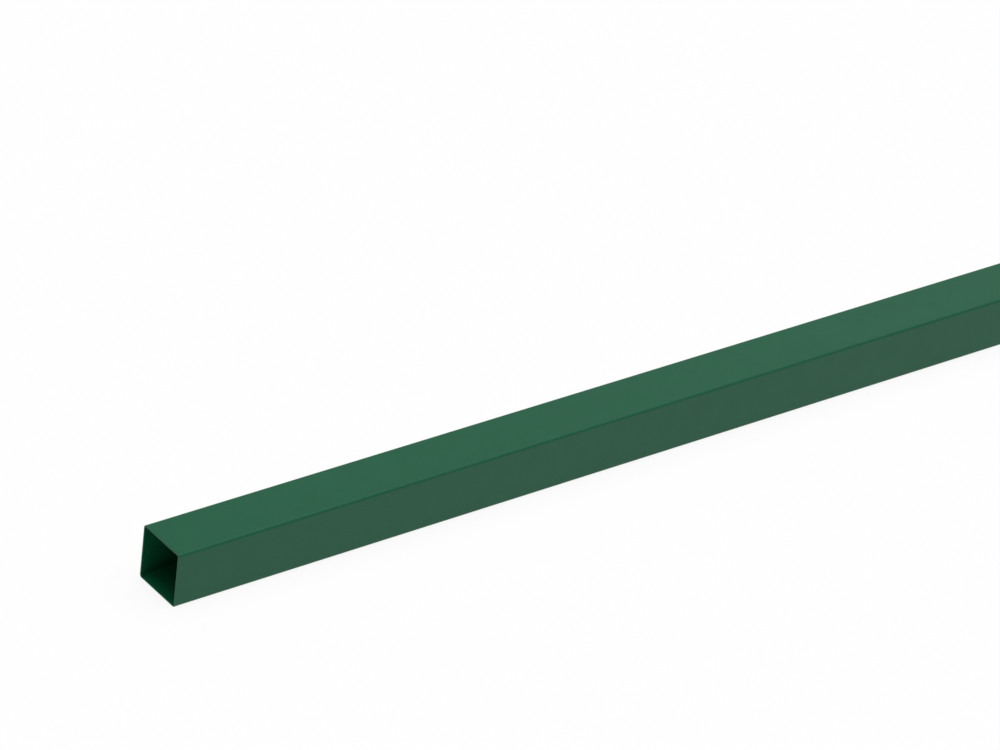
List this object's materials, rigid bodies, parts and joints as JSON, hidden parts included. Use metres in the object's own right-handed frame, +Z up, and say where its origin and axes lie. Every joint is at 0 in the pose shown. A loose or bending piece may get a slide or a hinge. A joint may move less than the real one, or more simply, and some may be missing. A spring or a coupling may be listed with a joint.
{
  "type": "metal fence post",
  "caption": "Straight square steel hollow section for a fence post, with rounded corners, open square-cut ends and a smooth green coat, lying on one flat side.",
  "frame": {"origin": "the middle of the underside: half way along the post, half way across it, on the surface that it lies on", "axes": "+X runs along the post, from the open end that the picture shows at -X to the end that the picture cuts off; +Y runs across it, from the side that faces the camera to the far side; +Z is up"},
  "size_m": [2, 0.06, 0.06],
  "materials": {
    "green_coat": "satin"
  },
  "bodies": {
    "root": {"post": "green_coat"}
  },
  "joints": []
}
